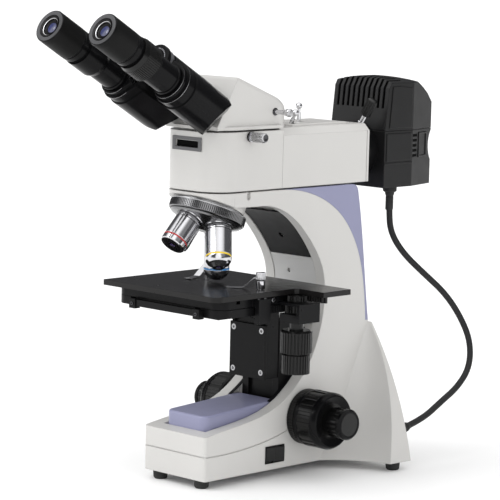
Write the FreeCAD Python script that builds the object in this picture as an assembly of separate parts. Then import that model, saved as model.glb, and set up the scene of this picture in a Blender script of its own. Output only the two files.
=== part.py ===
"""Upright reflected-light microscope, one STEP file per physical piece, in millimetres.

Everything is modelled about the objective's optical axis, x = y = 0, with the table at z = 0. The
observer sits on the -Y side, +X is the observer's right, and save() moves each piece so that the
origin is the middle of the object's footprint.
"""
import FreeCAD, Part
import math
import os

V = FreeCAD.Vector
X_AXIS, Y_AXIS, Z_AXIS = V(1, 0, 0), V(0, 1, 0), V(0, 0, 1)

# --- driving dimensions ---------------------------------------------------------------------------
FIT = 0.05                     # radial clearance of a running fit

BASE_FRONT, BASE_REAR = -50.6, 174.0
FOOT_HEIGHT = 8.4
HALF_WIDTH_LOW, HALF_WIDTH_TOP = 41.0, 38.0
ARM_TOP = 275.0
CHEEK_INNER = 28.0             # inner face of each side cheek of the arm
CHANNEL_FLOOR = 48.5
ROCKER_PIN = V(38.0, 42.5, 0)  # upright hinge of the power switch, in the base's right wall

STAGE_TOP_Z = 187.6
STAGE_PLATE = 5.0
MIDDLE_TOP_Z, MIDDLE_BOTTOM_Z = 182.3, 174.0
STAGE_BASE_TOP_Z, STAGE_BASE_BOTTOM_Z = 173.7, 166.0
STAGE_LEFT, STAGE_RIGHT, STAGE_FRONT, STAGE_REAR = -74.0, 78.0, -77.0, 65.0
STAGE_TAB_RIGHT, STAGE_TAB_FRONT = 112.0, 28.0
LAYER_LEFT, LAYER_RIGHT, LAYER_FRONT, LAYER_REAR = -67.0, 72.0, -66.0, 47.0
STAGE_KNOB = V(84.0, 22.5, 0.0)
CLIP_RIGHT, CLIP_LEFT = V(62.0, -4.0, 0.0), V(-40.0, 30.0, 0.0)

SHAFT_Y, SHAFT_Z = 84.3, 54.6  # focusing shaft
TOOTH = 1.0                    # gear module, shared by every rack and pinion
PINION_TEETH, X_PINION_TEETH, Y_PINION_TEETH = 12, 17, 21

ILLUMINATOR_BOTTOM, ILLUMINATOR_TOP = 276.5, 332.7
BLOCK_FRONT, BLOCK_REAR, BLOCK_TOP = -42.2, 46.8, 331.5
BOX_REAR = 168.2
NOSE_RADIUS = 26.0             # plan radius of the front corners
CLAMP = V(38.0, 2.0, 327.0)    # thumbscrew that holds the head
FIELD_LEVER_Y, APERTURE_LEVER_Y = 107.5, 82.0
APERTURE_REST = 25.8           # lean of the aperture lever, in degrees
LIGHT_Z = 304.6                # height of the horizontal illumination axis

TURRET_TILT = 22.0             # nosepiece axis, from the vertical
TURRET_APEX = V(0, 0, 287.4)   # where all objective axes meet
SHOULDER = 53.8                # from the apex to each objective's shoulder
OBJECTIVE_RADIUS = 12.3
LIGHT_PATH = 6.0               # radius of the hole above each objective

HEAD_BOTTOM = 333.3
PULL_ROD = V(34.0, 39.0, 348.6)
HINGE = V(0, -22.1, 361.3)     # hinge axis of the two eye halves, on the head's front face
VIEW_TILT = 30.0               # eyepiece axes, above the horizontal
EYE_HALF, EYE_DROP = 34.75, 22.0
SWING = math.hypot(EYE_HALF, EYE_DROP)
SWING_ANGLE = math.degrees(math.atan2(EYE_DROP, EYE_HALF))
TUBE_RADIUS, TUBE_BORE = 14.0, 11.6
EYE_TOP = 171.5                # from the head's face to the eyepieces' faces
HUB_CLEARANCE = 29.0           # each half is cut away round the hinge, but for its own hub

LAMP_HALF, LAMP_FRONT, LAMP_REAR = 36.0, 193.5, 275.0
LAMP_BOTTOM, LAMP_SPLIT = 268.0, 324.0
LAMP_CREST_Z = 376.6
WALL = 2.5

CORD_RADIUS = 3.1
CORD_ROUTE = [(24.0, 216.7, 262.2), (24.0, 216.7, 243.0), (26.0, 217.5, 222.0), (31.0, 231.0, 201.0),
              (37.5, 255.0, 180.0), (45.0, 283.0, 157.0), (53.0, 300.0, 131.0), (61.5, 305.5, 107.0),
              (69.5, 295.5, 83.0), (76.0, 270.0, 67.0), (80.5, 239.0, 56.0), (83.5, 208.0, 43.0),
              (84.0, 181.0, 38.0)]
CORD_BEND = 0.45               # arc tangent length, as a share of the shorter run

ORIGIN = V(6.5, 42.7, 0)       # middle of the footprint, seen from the optical axis


# --- helpers --------------------------------------------------------------------------------------
def box(x0, x1, y0, y1, z0, z1):
    return Part.makeBox(x1 - x0, y1 - y0, z1 - z0, V(x0, y0, z0))


def rod(start, direction, radius, length, bore=0.0):
    solid = Part.makeCylinder(radius, length, start, direction)
    if bore:
        solid = solid.cut(Part.makeCylinder(bore, length, start, direction))
    return solid


def cone(start, direction, radius_a, radius_b, length):
    return Part.makeCone(radius_a, radius_b, length, start, direction)


def fuse(solids):
    joined = solids[0]
    for solid in solids[1:]:
        joined = joined.fuse(solid)
    return joined.removeSplitter()


def cut_all(solid, tools):
    for tool in tools:
        solid = solid.cut(tool)
    return solid


def polygon(points):
    return Part.makePolygon(list(points) + [points[0]])


def prism_x(points, x0, x1):
    """Polygon of (y, z) points, extruded along X."""
    return Part.Face(polygon([V(x0, y, z) for y, z in points])).extrude(V(x1 - x0, 0, 0))


def prism_y(points, y0, y1):
    """Polygon of (x, z) points, extruded along Y."""
    return Part.Face(polygon([V(x, y0, z) for x, z in points])).extrude(V(0, y1 - y0, 0))


def prism_z(points, z0, z1):
    """Polygon of (x, y) points, extruded along Z."""
    return Part.Face(polygon([V(x, y, z0) for x, y in points])).extrude(V(0, 0, z1 - z0))


def turned(points, start, direction):
    """Solid of revolution: (radius, distance) points about an axis through start."""
    face = Part.Face(polygon([V(r, 0, d) for r, d in points]))
    solid = face.revolve(V(0, 0, 0), Z_AXIS, 360)
    solid.Placement = FreeCAD.Placement(start, FreeCAD.Rotation(Z_AXIS, direction))
    return solid


def smooth_edge(points, x):
    """One spline edge through (y, z) points at a given x."""
    curve = Part.BSplineCurve()
    curve.interpolate([V(x, y, z) for y, z in points])
    return curve.toShape()


def outline_solid(runs, x0, x1):
    """Closed (y, z) outline of straight runs and splines, extruded along X. A run of two points is
    straight and a longer one is a spline."""
    edges = []
    for run in runs:
        if len(run) == 2:
            edges.append(Part.LineSegment(V(x0, *run[0]), V(x0, *run[1])).toShape())
        else:
            edges.append(smooth_edge(run, x0))
    return Part.Face(Part.Wire(edges)).extrude(V(x1 - x0, 0, 0))


def offset_points(points, distance):
    """Points moved to the left of their direction of travel."""
    moved = []
    for i, (y, z) in enumerate(points):
        ya, za = points[max(i - 1, 0)]
        yb, zb = points[min(i + 1, len(points) - 1)]
        length = math.hypot(yb - ya, zb - za)
        moved.append((y - distance * (zb - za) / length, z + distance * (yb - ya) / length))
    return moved


def corner_cutter(x, y, radius, z0, z1, side):
    """Removes the sharp vertical corner at (side * x, y), leaving a round one."""
    inner = side * (x - radius)
    low, high = sorted((inner, side * (x + 1)))
    block = box(low, high, y - 1, y + radius, z0, z1)
    return block.cut(rod(V(inner, y + radius, z0), Z_AXIS, radius, z1 - z0))


def mirrored(solid):
    return solid.mirror(V(0, 0, 0), X_AXIS)


def both_sides(solid):
    return [solid, mirrored(solid)]


def rounded(solid, radius, picks):
    """Fillets the edges whose middle points satisfy picks."""
    edges = [e for e in solid.Edges if picks(e.valueAt((e.FirstParameter + e.LastParameter) / 2))]
    return solid.makeFillet(radius, edges)


def fluted(start, direction, radius, length, count, depth):
    """A gripping rim: a disc whose edge has evenly spaced grooves."""
    points = []
    for i in range(count):
        for share, r in ((0.0, radius), (0.5, radius), (0.62, radius - depth), (0.88, radius - depth)):
            angle = 2 * math.pi * (i + share) / count
            points.append(V(r * math.cos(angle), r * math.sin(angle), 0))
    solid = Part.Face(polygon(points)).extrude(V(0, 0, length))
    solid.Placement = FreeCAD.Placement(start, FreeCAD.Rotation(Z_AXIS, direction))
    return solid


def pinion(start, direction, teeth, length, phase):
    """Straight-flanked spur gear of the shared module. phase, in teeth, turns it into mesh."""
    pitch = TOOTH * teeth / 2
    tip, root = pitch + 0.75 * TOOTH, pitch - 0.95 * TOOTH
    points = []
    for i in range(teeth):
        for share, r in ((-0.33, root), (-0.10, tip), (0.10, tip), (0.33, root)):
            angle = 2 * math.pi * (i + share + phase) / teeth
            points.append(V(r * math.cos(angle), r * math.sin(angle), 0))
    solid = Part.Face(polygon(points)).extrude(V(0, 0, length))
    solid.Placement = FreeCAD.Placement(start, FreeCAD.Rotation(Z_AXIS, direction))
    return solid


def rack_profile(first, last, centre, root, side):
    """Rack outline as (along, across) points. Teeth point to side, with a tooth space at centre."""
    pitch = math.pi * TOOTH
    tip = root + side * 1.7 * TOOTH
    points = [(first, root - side * 2.5), (first, root)]
    tooth = math.ceil((first - centre) / pitch) + 0.5
    while centre + (tooth + 0.5) * pitch < last:
        middle = centre + tooth * pitch
        points += [(middle - 0.33 * pitch, root), (middle - 0.10 * pitch, tip),
                   (middle + 0.10 * pitch, tip), (middle + 0.33 * pitch, root)]
        tooth += 1
    return points + [(last, root), (last, root - side * 2.5)]


def in_head(solid):
    """From the eye halves' frame, +Z towards the observer along the eyepieces, to the object's."""
    placed = solid.copy()
    placed.rotate(V(0, 0, 0), X_AXIS, 90 - VIEW_TILT)
    placed.translate(HINGE)
    return placed


def save(name, shape):
    shape = shape.copy()
    shape.translate(ORIGIN * -1)
    solids = shape.Solids
    if not solids or not all(s.isValid() for s in solids):
        raise RuntimeError(name + " is not valid")
    (solids[0] if len(solids) == 1 else Part.makeCompound(solids)).exportStep("parts/" + name + ".step")


def group(name, solids):
    save(name, Part.makeCompound(solids))


# --- stand ----------------------------------------------------------------------------------------
INNER_EDGE = [(14.5, 261.0), (58.0, 250.6), (89.3, 222.0), (106.5, 192.0), (108.5, 165.0),
              (97.6, 122.3), (76.0, 90.6), (42.0, 67.5), (2.0, 57.5), (-50.6, 50.2)]
OUTER_EDGE = [(167.9, 140.0), (165.0, 172.0), (155.3, 210.0), (128.2, 248.0), (86.0, 269.5),
              (47.8, ARM_TOP)]
REAR_EDGE = [(172.0, 140.0), (168.0, 169.4), (157.8, 249.0), (154.5, 267.0)]


def side_taper(y0, y1):
    """The arm narrows slightly from the base to its top."""
    return prism_y([(-HALF_WIDTH_LOW, 0), (HALF_WIDTH_LOW, 0), (HALF_WIDTH_LOW, 50),
                    (HALF_WIDTH_TOP, 276), (-HALF_WIDTH_TOP, 276), (-HALF_WIDTH_LOW, 50)], y0, y1)


def wing():
    """Right rear foot of the base, a hollow-sided buttress that widens towards the table."""
    sections = []
    for z, reach, front, start in ((FOOT_HEIGHT, 98.0, 145.0, 98.0), (48.0, 87.5, 157.0, 124.0),
                                   (94.0, 68.5, 168.0, 146.0), (138.0, 42.0, 172.4, 166.0)):
        inner = HALF_WIDTH_LOW - 4
        a, b = V(inner, start, z), V(reach, front, z)
        c, d = V(reach + 1, BASE_REAR, z), V(inner, BASE_REAR, z)
        middle = V(inner + 0.42 * (reach - inner), start + 0.66 * (front - start), z)
        sections.append(Part.Wire([Part.Arc(a, middle, b).toShape(), Part.LineSegment(b, c).toShape(),
                                   Part.LineSegment(c, d).toShape(), Part.LineSegment(d, a).toShape()]))
    return Part.makeLoft(sections, True, False)


def seam_groove():
    """The parting groove that runs round the base front and rises along its sides."""
    line = [(-56.0, 31.0), (-18.0, 31.2), (9.0, 33.4), (36.0, 37.6), (60.0, 44.0)]
    upper = [(y, z + 0.9) for y, z in line]
    band = outline_solid([line, [line[-1], upper[-1]], upper[::-1], [upper[0], line[0]]], -50, 50)
    depth = 0.8
    core = box(depth - HALF_WIDTH_LOW, HALF_WIDTH_LOW - depth, BASE_FRONT + depth, 70, 20, 60)
    return band.cut(core)


def turret_point(distance):
    """Point on the nosepiece axis, below the apex."""
    return TURRET_APEX + turret_axis() * distance


def turret_axis():
    tilt = math.radians(TURRET_TILT)
    return V(0, -math.sin(tilt), -math.cos(tilt))


def stand_casting():
    nose = [(BLOCK_FRONT, ARM_TOP), (BLOCK_FRONT, 272.4), (-15.0, 261.5), INNER_EDGE[0]]
    sole = [INNER_EDGE[-1], (BASE_FRONT, FOOT_HEIGHT), (BASE_REAR, FOOT_HEIGHT), REAR_EDGE[0], OUTER_EDGE[0]]
    straight = list(zip(nose, nose[1:])), list(zip(sole, sole[1:]))
    runs = [list(run) for run in straight[0]] + [INNER_EDGE] + [list(run) for run in straight[1]]
    runs += [OUTER_EDGE, [OUTER_EDGE[-1], nose[0]]]
    body = outline_solid(runs, -HALF_WIDTH_LOW, HALF_WIDTH_LOW).common(side_taper(-60, 180))
    for side in (-1, 1):
        body = body.cut(corner_cutter(HALF_WIDTH_TOP, BLOCK_FRONT, NOSE_RADIUS, 255, 276, side))
        body = body.cut(corner_cutter(HALF_WIDTH_LOW, BASE_FRONT, 3, 0, 60, side))
    boss = rod(turret_point(14), turret_axis(), 33.5, 16).common(box(-60, 60, -60, 60, 200, ARM_TOP))
    body = fuse([body, boss] + both_sides(wing()))
    channel = offset_points(INNER_EDGE[:6], 3.2)
    mouth = (channel[0][0], channel[-1][1])
    throat = outline_solid([channel, [channel[-1], mouth], [mouth, channel[0]]], -CHEEK_INNER, CHEEK_INNER)
    top_wall = rod(turret_point(0), turret_axis(), 38, 60)
    well_side = 24.0
    cavities = [throat.cut(top_wall),
                box(-CHEEK_INNER, CHEEK_INNER, -37.8, 62, CHANNEL_FLOOR, 125),
                box(-well_side, well_side, 60, 99, 24, 140),
                box(-34, 34, -44, 166, 0, 24), box(-34, 34, -44, 56, 0, 42),
                box(-30, 30, 118, 150, 20, 200),
                rod(V(-60, SHAFT_Y, SHAFT_Z), X_AXIS, 5 + FIT, 120),
                rod(V(0, 0, 200), Z_AXIS, 11, 90),
                box(34, 60, 30, 55, 15, 31),
                rod(V(ROCKER_PIN.x, ROCKER_PIN.y, 12.8), Z_AXIS, 1.2 + FIT, 20.4),
                rod(V(35, 2.2, 270), X_AXIS, 2.3, 10), box(35, 45, -0.1, 4.5, 270, 280)]
    body = cut_all(body, cavities + [seam_groove()])
    bearing = rod(V(-47.8, SHAFT_Y, SHAFT_Z), X_AXIS, 24, 8, 5 + FIT)
    save("stand_casting", body.fuse(bearing).removeSplitter())


def rear_cover():
    runs = [OUTER_EDGE, [OUTER_EDGE[-1], (145.5, ARM_TOP)],
            [(145.5, ARM_TOP), (151.5, 273.0), REAR_EDGE[-1]], REAR_EDGE[::-1], [REAR_EDGE[0], OUTER_EDGE[0]]]
    cover = outline_solid(runs, -HALF_WIDTH_LOW, HALF_WIDTH_LOW).common(side_taper(0, 180))
    save("rear_cover", cover.removeSplitter())


def base_cover():
    front, rear, half = -37.6, 60.0, 26.5
    block = prism_x([(front, CHANNEL_FLOOR), (front, 66.0), (rear, 71.5), (rear, CHANNEL_FLOOR)], -half, half)
    block = rounded(block, 8, lambda p: abs(p.x) > half - 1 and p.y < front + 1)
    block = rounded(block, 2.5, lambda p: p.z > 65)
    hollow = box(-half + 3, half - 3, front + 3, rear - 3, CHANNEL_FLOOR, 61)
    save("base_cover", block.cut(hollow))


def throat_panels():
    """Two panels that line the inside of the arm: a dark one above and a pale one below."""
    back, front = offset_points(INNER_EDGE[:6], 3.1), offset_points(INNER_EDGE[:6], 0.6)
    half = CHEEK_INNER - 0.2
    band = outline_solid([back, [back[-1], front[-1]], front[::-1], [front[0], back[0]]], -half, half)
    split, top, bottom = 205.5, 252.0, 142.0
    upper = band.common(box(-half, half, 0, 130, split + 0.2, top))
    lower = band.common(box(-half, half, 0, 130, bottom, split - 0.2))
    save("throat_panel_upper", upper.cut(rod(V(0, 70, 226), Y_AXIS, 2.4, 40)))
    groove = box(-half, half, 90, 106.5, 184, 184.9).common(band)
    save("throat_panel_lower", cut_all(lower, [groove, rod(V(-8, 90, 189), Y_AXIS, 2.2, 30)]))


def base_bottom():
    save("bottom_plate", box(-33.8, 33.8, -43.8, 165.8, FOOT_HEIGHT, FOOT_HEIGHT + 1.6))
    feet = []
    for x, y in ((27.7, -41.3), (88.6, 159.2)):
        profile = [(0, 0), (5.4, 0), (6.6, 1.4), (7.2, FOOT_HEIGHT), (0, FOOT_HEIGHT)]
        feet += both_sides(turned(profile, V(x, y, 0), Z_AXIS))
    group("rubber_feet", feet)
    board = box(-28, 28, -38, 46, 14, 15.6)
    transformer = box(-24, 4, -34, -4, 15.6, 36)
    capacitors = [rod(V(16, y, 15.6), Z_AXIS, 6, 16) for y in (-26, -10)]
    heat_sink = [box(-24 + 5 * i, -22.5 + 5 * i, 8, 34, 15.6, 30) for i in range(6)]
    save("power_board", fuse([board, transformer] + capacitors + heat_sink))
    socket = turned([(0, 0), (5.2, 0), (5.2, 3.0), (4.2, 7.0), (0, 7.0)], V(84, BASE_REAR, 38), Y_AXIS)
    save("lead_socket", socket)


def rocker_switch():
    outline = [(35.5, 33.5), (40.2, 31.2), (41.4, 42.5), (43.4, 53.8), (35.5, 51.5)]
    pin = rod(V(ROCKER_PIN.x, ROCKER_PIN.y, 13), Z_AXIS, 1.2, 20)
    save("rocker_switch", prism_z(outline, 16, 30).fuse(pin))


# --- focusing drive -------------------------------------------------------------------------------
def focus_guide():
    rail = fuse([box(20, 24, 63, 78, 45, 150), box(16, 20, 63, 65.7, 45, 150)])
    group("focus_guide", both_sides(rail))


def coarse_drive():
    shaft = rod(V(-72, SHAFT_Y, SHAFT_Z), X_AXIS, 5, 144, 3 + FIT)
    gear = pinion(V(-5, SHAFT_Y, SHAFT_Z), X_AXIS, PINION_TEETH, 10, 0.0).cut(
        rod(V(-6, SHAFT_Y, SHAFT_Z), X_AXIS, 4, 12))
    save("coarse_shaft", shaft.fuse(gear).removeSplitter())
    knob = fluted(V(50, SHAFT_Y, SHAFT_Z), X_AXIS, 27.5, 24.6, 48, 0.9)
    rim = cone(V(74.6, SHAFT_Y, SHAFT_Z), X_AXIS, 27.2, 25.2, 3.5)
    recess = turned([(0, 0), (14, 0), (20, 4.2), (0, 4.2)], V(74, SHAFT_Y, SHAFT_Z), X_AXIS)
    knob = fuse([knob, rim]).cut(recess).cut(rod(V(49, SHAFT_Y, SHAFT_Z), X_AXIS, 5, 40))
    group("coarse_knobs", both_sides(knob))
    ring = fluted(V(41.3, SHAFT_Y, SHAFT_Z), X_AXIS, 26.8, 7.5, 60, 0.6)
    save("tension_ring", ring.cut(rod(V(40, SHAFT_Y, SHAFT_Z), X_AXIS, 5 + FIT, 12)))


def fine_drive():
    save("fine_shaft", rod(V(-97, SHAFT_Y, SHAFT_Z), X_AXIS, 3, 194))
    knob = fuse([rod(V(74.5, SHAFT_Y, SHAFT_Z), X_AXIS, 12.6, 5),
                 fluted(V(79, SHAFT_Y, SHAFT_Z), X_AXIS, 14.6, 16, 36, 0.7),
                 rod(V(95, SHAFT_Y, SHAFT_Z), X_AXIS, 14.9, 3.8)])
    knob = knob.cut(rod(V(70, SHAFT_Y, SHAFT_Z), X_AXIS, 3, 27))
    group("fine_knobs", both_sides(knob))


def coarse_slide():
    plate = box(-19.6, 19.6, 66, 74, 50, 150)
    pitch_line = SHAFT_Y - TOOTH * PINION_TEETH / 2
    root = pitch_line - 0.95 * TOOTH
    teeth = rack_profile(50.5, 95, SHAFT_Z, root, 1)
    rack = prism_x([(across, along) for along, across in teeth], -4, 4)
    spacer = box(-4, 4, 73, root - 2.4, 50.5, 95)
    save("coarse_slide", fuse([plate, spacer, rack]))


def stage_bracket():
    column = box(-23.3, 23.3, 46.8, 62.6, 92, 158)
    tongue = box(-15.6, 15.6, 62, 65.7, 92, 158)
    platform = box(-36, 36, -32, 62.6, 158, STAGE_BASE_BOTTOM_Z)
    ribs = both_sides(prism_x([(46.8, 158), (46.8, 144), (20, 158)], 17, 23.3))
    save("stage_bracket", fuse([column, tongue, platform] + ribs))
    cover = box(-23.3, 23.3, 43.8, 46.8, 91.5, 143.4)
    screws = []
    for x in (-18.5, 18.5):
        for z in (98, 138.2):
            screws.append(bracket_screw(x, z))
            cover = cover.cut(rod(V(x, 40, z), Y_AXIS, 2.9, 10))
    save("bracket_cover", cover)
    group("bracket_screws", screws)


def bracket_screw(x, z):
    """Socket head cap screw through the bracket's cover."""
    head = rod(V(x, 43.6, z), Y_AXIS, 2.8, 3.2)
    socket = rod(V(x, 43.0, z), Y_AXIS, 1.4, 2.2)
    return head.cut(socket)


# --- mechanical stage -----------------------------------------------------------------------------
def layer_plate(x0, x1, y0, y1, z0, z1, radius):
    plate = box(x0, x1, y0, y1, z0, z1)
    return rounded(plate, radius, lambda p: z0 + 0.1 < p.z < z1 - 0.1)


def stage_base():
    plate = layer_plate(LAYER_LEFT, 72.4, LAYER_FRONT, LAYER_REAR, STAGE_BASE_BOTTOM_Z, STAGE_BASE_TOP_Z, 12)
    grooves = both_sides(box(39.6, 46.4, -80, 80, 168.6, 180))
    pitch_line = STAGE_KNOB.x - TOOTH * Y_PINION_TEETH / 2
    teeth = rack_profile(-10, 46, STAGE_KNOB.y, pitch_line - 0.95 * TOOTH, 1)
    rack = prism_z([(across, along) for along, across in teeth], 166.5, 173)
    corner = box(66, 80, 34, 60, 160, 166.4)
    save("stage_base", cut_all(plate, grooves + [corner]).fuse(rack).removeSplitter())


def front_bar():
    bar = box(-41, 50, -71.4, LAYER_FRONT, 166.4, 172.6)
    ends = [box(x, x + 8, -72.6, LAYER_FRONT, 164.2, 173.2) for x in (-42, 43)]
    save("front_bar", fuse([bar] + ends))


def stage_middle():
    plate = layer_plate(LAYER_LEFT, LAYER_RIGHT, LAYER_FRONT, LAYER_REAR, MIDDLE_BOTTOM_Z, MIDDLE_TOP_Z, 12)
    grooves = [box(-90, 90, y0, y0 + 4.6, 178.4, 190) for y0 in (-45.3, 39.2)]
    rack_slot = box(8, 90, 29.4, 36.4, 176.2, 190)
    ribs = both_sides(box(40, 46, -46, 30, 169, MIDDLE_BOTTOM_Z + 1))
    shelf = box(66, 99.5, 9, 37, MIDDLE_BOTTOM_Z, 176.0)
    outer_wall = box(96.3, 99.5, 9, 37, 158, 176.0)
    bearing = box(75, 99.5, 9, 37, 158, 165.8)
    side_block = fuse([box(74.8, 80, -24, -8.6, 158.5, 181.5), box(71, 80, -24, -8.6, 174, 181.5)])
    body = fuse([cut_all(plate, grooves + [rack_slot])] + ribs + [shelf, outer_wall, bearing, side_block])
    bores = [rod(V(STAGE_KNOB.x, STAGE_KNOB.y, 150), Z_AXIS, 6.5 + FIT, 20),
             rod(V(STAGE_KNOB.x, STAGE_KNOB.y, 170), Z_AXIS, 4 + FIT, 20)]
    save("stage_middle", cut_all(body, bores))


def stage_top():
    z0 = STAGE_TOP_Z - STAGE_PLATE
    outline = [(STAGE_LEFT, STAGE_FRONT), (STAGE_RIGHT, STAGE_FRONT), (STAGE_RIGHT, STAGE_TAB_FRONT - 3),
               (STAGE_RIGHT + 3, STAGE_TAB_FRONT), (STAGE_TAB_RIGHT, STAGE_TAB_FRONT),
               (STAGE_TAB_RIGHT, STAGE_REAR), (STAGE_LEFT, STAGE_REAR)]
    plate = prism_z(outline, z0, STAGE_TOP_Z)
    plate = rounded(plate, 8, lambda p: p.y < STAGE_FRONT + 1 and p.x > STAGE_RIGHT - 1)
    plate = rounded(plate, 2, lambda p: p.y < STAGE_FRONT + 1 and p.x < STAGE_LEFT + 1)
    ribs = [box(-60, 66, y0, y0 + 4, 178.8, z0 + 0.5) for y0 in (-45, 39.5)]
    pitch_line = STAGE_KNOB.y + TOOTH * X_PINION_TEETH / 2
    teeth = rack_profile(38, 111, STAGE_KNOB.x, pitch_line + 0.95 * TOOTH, -1)
    rack = prism_z(teeth, 177, z0 + 0.5)
    holes = [rod(V(post.x, post.y, z0 - 1), Z_AXIS, 2.5 + FIT, 10) for post in (CLIP_RIGHT, CLIP_LEFT)]
    save("stage_top", cut_all(fuse([plate, rack] + ribs), holes))


def stage_clip(name, post, length, turn):
    """Spring clip: a post with a cap, and a strip that bends down to the plate and lies along it."""
    z0, rise = STAGE_TOP_Z, 10.4
    pin = fuse([rod(V(0, 0, z0 - STAGE_PLATE + 0.6), Z_AXIS, 2.5, 15.4),
                rod(V(0, 0, z0 + 11.2), Z_AXIS, 4.4, 4.6)])
    lower = [(0, rise), (-6, rise), (8 - length * 0.75, 1.0), (2.5 - length, 0.3), (-length, 0.9)]
    upper = [(y, z + 0.6) for y, z in reversed(lower)]
    strip = prism_x([(y, z0 + z) for y, z in lower + upper], -3.2, 3.2)
    clip = fuse([pin, strip, rod(V(0, 0, z0 + rise), Z_AXIS, 4.2, 0.8)])
    clip.rotate(V(0, 0, 0), Z_AXIS, turn)
    clip.translate(V(post.x, post.y, 0))
    save(name, clip)


def on_knob_axis(z):
    return V(STAGE_KNOB.x, STAGE_KNOB.y, z)


def stage_knobs():
    """The upper knob turns the Y pinion on a hollow shaft, the lower one the X pinion through it."""
    y_phase = Y_PINION_TEETH / 2 % 1
    y_knob = fuse([fluted(on_knob_axis(129), Z_AXIS, 15.0, 19.5, 30, 0.8),
                   cone(on_knob_axis(148.5), Z_AXIS, 14.4, 12.6, 1.8),
                   rod(on_knob_axis(150), Z_AXIS, 6.5, 19),
                   pinion(on_knob_axis(166.4), Z_AXIS, Y_PINION_TEETH, 6.9, y_phase)])
    save("stage_y_knob", y_knob.cut(rod(on_knob_axis(120), Z_AXIS, 4 + FIT, 60)))
    x_knob = fuse([fluted(on_knob_axis(109.5), Z_AXIS, 13.3, 17.5, 28, 0.8),
                   rod(on_knob_axis(127), Z_AXIS, 9.5, 1.5),
                   rod(on_knob_axis(127), Z_AXIS, 4, 55),
                   pinion(on_knob_axis(176.6), Z_AXIS, X_PINION_TEETH, 5.4, x_mesh_phase())])
    save("stage_x_knob", x_knob)


def x_mesh_phase():
    """The rack lies towards +Y, a quarter turn from the gear's first tooth."""
    return X_PINION_TEETH / 4 % 1


# --- nosepiece and objectives ---------------------------------------------------------------------
def nosepiece_mount():
    disc = rod(turret_point(30), turret_axis(), 31, 1.6)
    pivot = rod(turret_point(31), turret_axis(), 6, 15)
    save("nosepiece_mount", fuse([disc, pivot]).cut(rod(V(0, 0, 240), Z_AXIS, LIGHT_PATH, 40)))


def objective_axis(turn):
    """Direction of the objective that stands turn degrees round the nosepiece from the working one."""
    rotation = FreeCAD.Rotation(turret_axis(), turn)
    return rotation.multVec(V(0, 0, -1))


def nosepiece():
    start = 32.0
    profile = [(0, start), (35.0, start), (36.5, start + 1), (36.5, start + 8.5), (34.5, start + 10),
               (33.0, start + 11.8), (7.0, 54.4), (0, 54.4)]
    body = turned(profile, TURRET_APEX, turret_axis())
    body = body.cut(rod(turret_point(start - 1), turret_axis(), 6 + FIT, 16))
    for turn in (0, 90, 180, 270):
        axis = objective_axis(turn)
        body = body.fuse(rod(TURRET_APEX + axis * (SHOULDER - 8), axis, 12.6, 7.4))
        body = body.cut(rod(TURRET_APEX + axis * (SHOULDER - 5), axis, 10.0, 8))
        body = body.cut(rod(TURRET_APEX + axis * 30, axis, LIGHT_PATH, 30))
    save("nosepiece", body.removeSplitter())


def objective(name, turn, profile):
    """profile is (radius, distance below the shoulder). A threaded neck goes into the nosepiece."""
    axis = objective_axis(turn)
    neck = [(0, -4.6), (9.95, -4.6), (9.95, -0.5), (OBJECTIVE_RADIUS, -0.5)]
    points = neck + profile + [(3.0, profile[-1][1]), (3.0, profile[-1][1] - 1.5), (0, profile[-1][1] - 1.5)]
    save(name, turned(points, TURRET_APEX + axis * SHOULDER, axis))


def objectives():
    r = OBJECTIVE_RADIUS
    objective("objective_low", 180, [(r, 26), (r - 0.7, 26.6), (r - 0.7, 30.4), (r - 1.5, 31)])
    objective("objective_medium", 90,
              [(r, 29), (r - 0.4, 33), (10.2, 36), (8.2, 36.8), (6.2, 39.2), (5.2, 40)])
    objective("objective_high", 270, [(r, 20), (r - 0.6, 23), (9.0, 25), (6.6, 27)])
    objective("objective_working", 0, [(r, 35), (r - 0.6, 37.5), (10.2, 40), (6.4, 43), (4.6, 44)])


# --- vertical illuminator and lamp house ----------------------------------------------------------
def illuminator_block():
    block = box(-HALF_WIDTH_TOP, HALF_WIDTH_TOP, BLOCK_FRONT, BLOCK_REAR, ILLUMINATOR_BOTTOM, BLOCK_TOP)
    for side in (-1, 1):
        block = block.cut(corner_cutter(HALF_WIDTH_TOP, BLOCK_FRONT, NOSE_RADIUS, 270, 340, side))
    cavities = [box(-28, 28, -28, 50, 284, 321),
                rod(V(0, 0, 270), Z_AXIS, 15, 60), rod(V(0, 0, 321), Z_AXIS, 22.5, 20),
                rod(V(15, CLAMP.y, CLAMP.z), X_AXIS, 2 + FIT, 30), box(-15, 15, -50, -36, 316.4, 322.9)]
    feet = fuse([box(-30, 30, 2, 40, ARM_TOP, ILLUMINATOR_BOTTOM + 1)]).cut(rod(V(0, 0, 270), Z_AXIS, 15, 60))
    save("illuminator_block", fuse([cut_all(block, cavities), feet]))
    mirror = box(-12, 12, -17, 17, -0.8, 0.8)
    mirror.rotate(V(0, 0, 0), X_AXIS, 45)
    mirror.translate(V(0, 0, LIGHT_Z))
    rail = box(-14, -12, -12, 12, 284, LIGHT_Z + 10)
    save("beam_splitter", fuse([mirror, rail, mirrored(rail)]))


def head_clamp_screw():
    screw = fuse([rod(V(23, CLAMP.y, CLAMP.z), X_AXIS, 2, 18),
                  rod(V(39, CLAMP.y, CLAMP.z), X_AXIS, 3.4, 3.4),
                  fluted(V(42.2, CLAMP.y, CLAMP.z), X_AXIS, 4.8, 14.8, 24, 0.4),
                  cone(V(57, CLAMP.y, CLAMP.z), X_AXIS, 4.4, 3.0, 1.6)])
    save("head_clamp_screw", screw)


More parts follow.
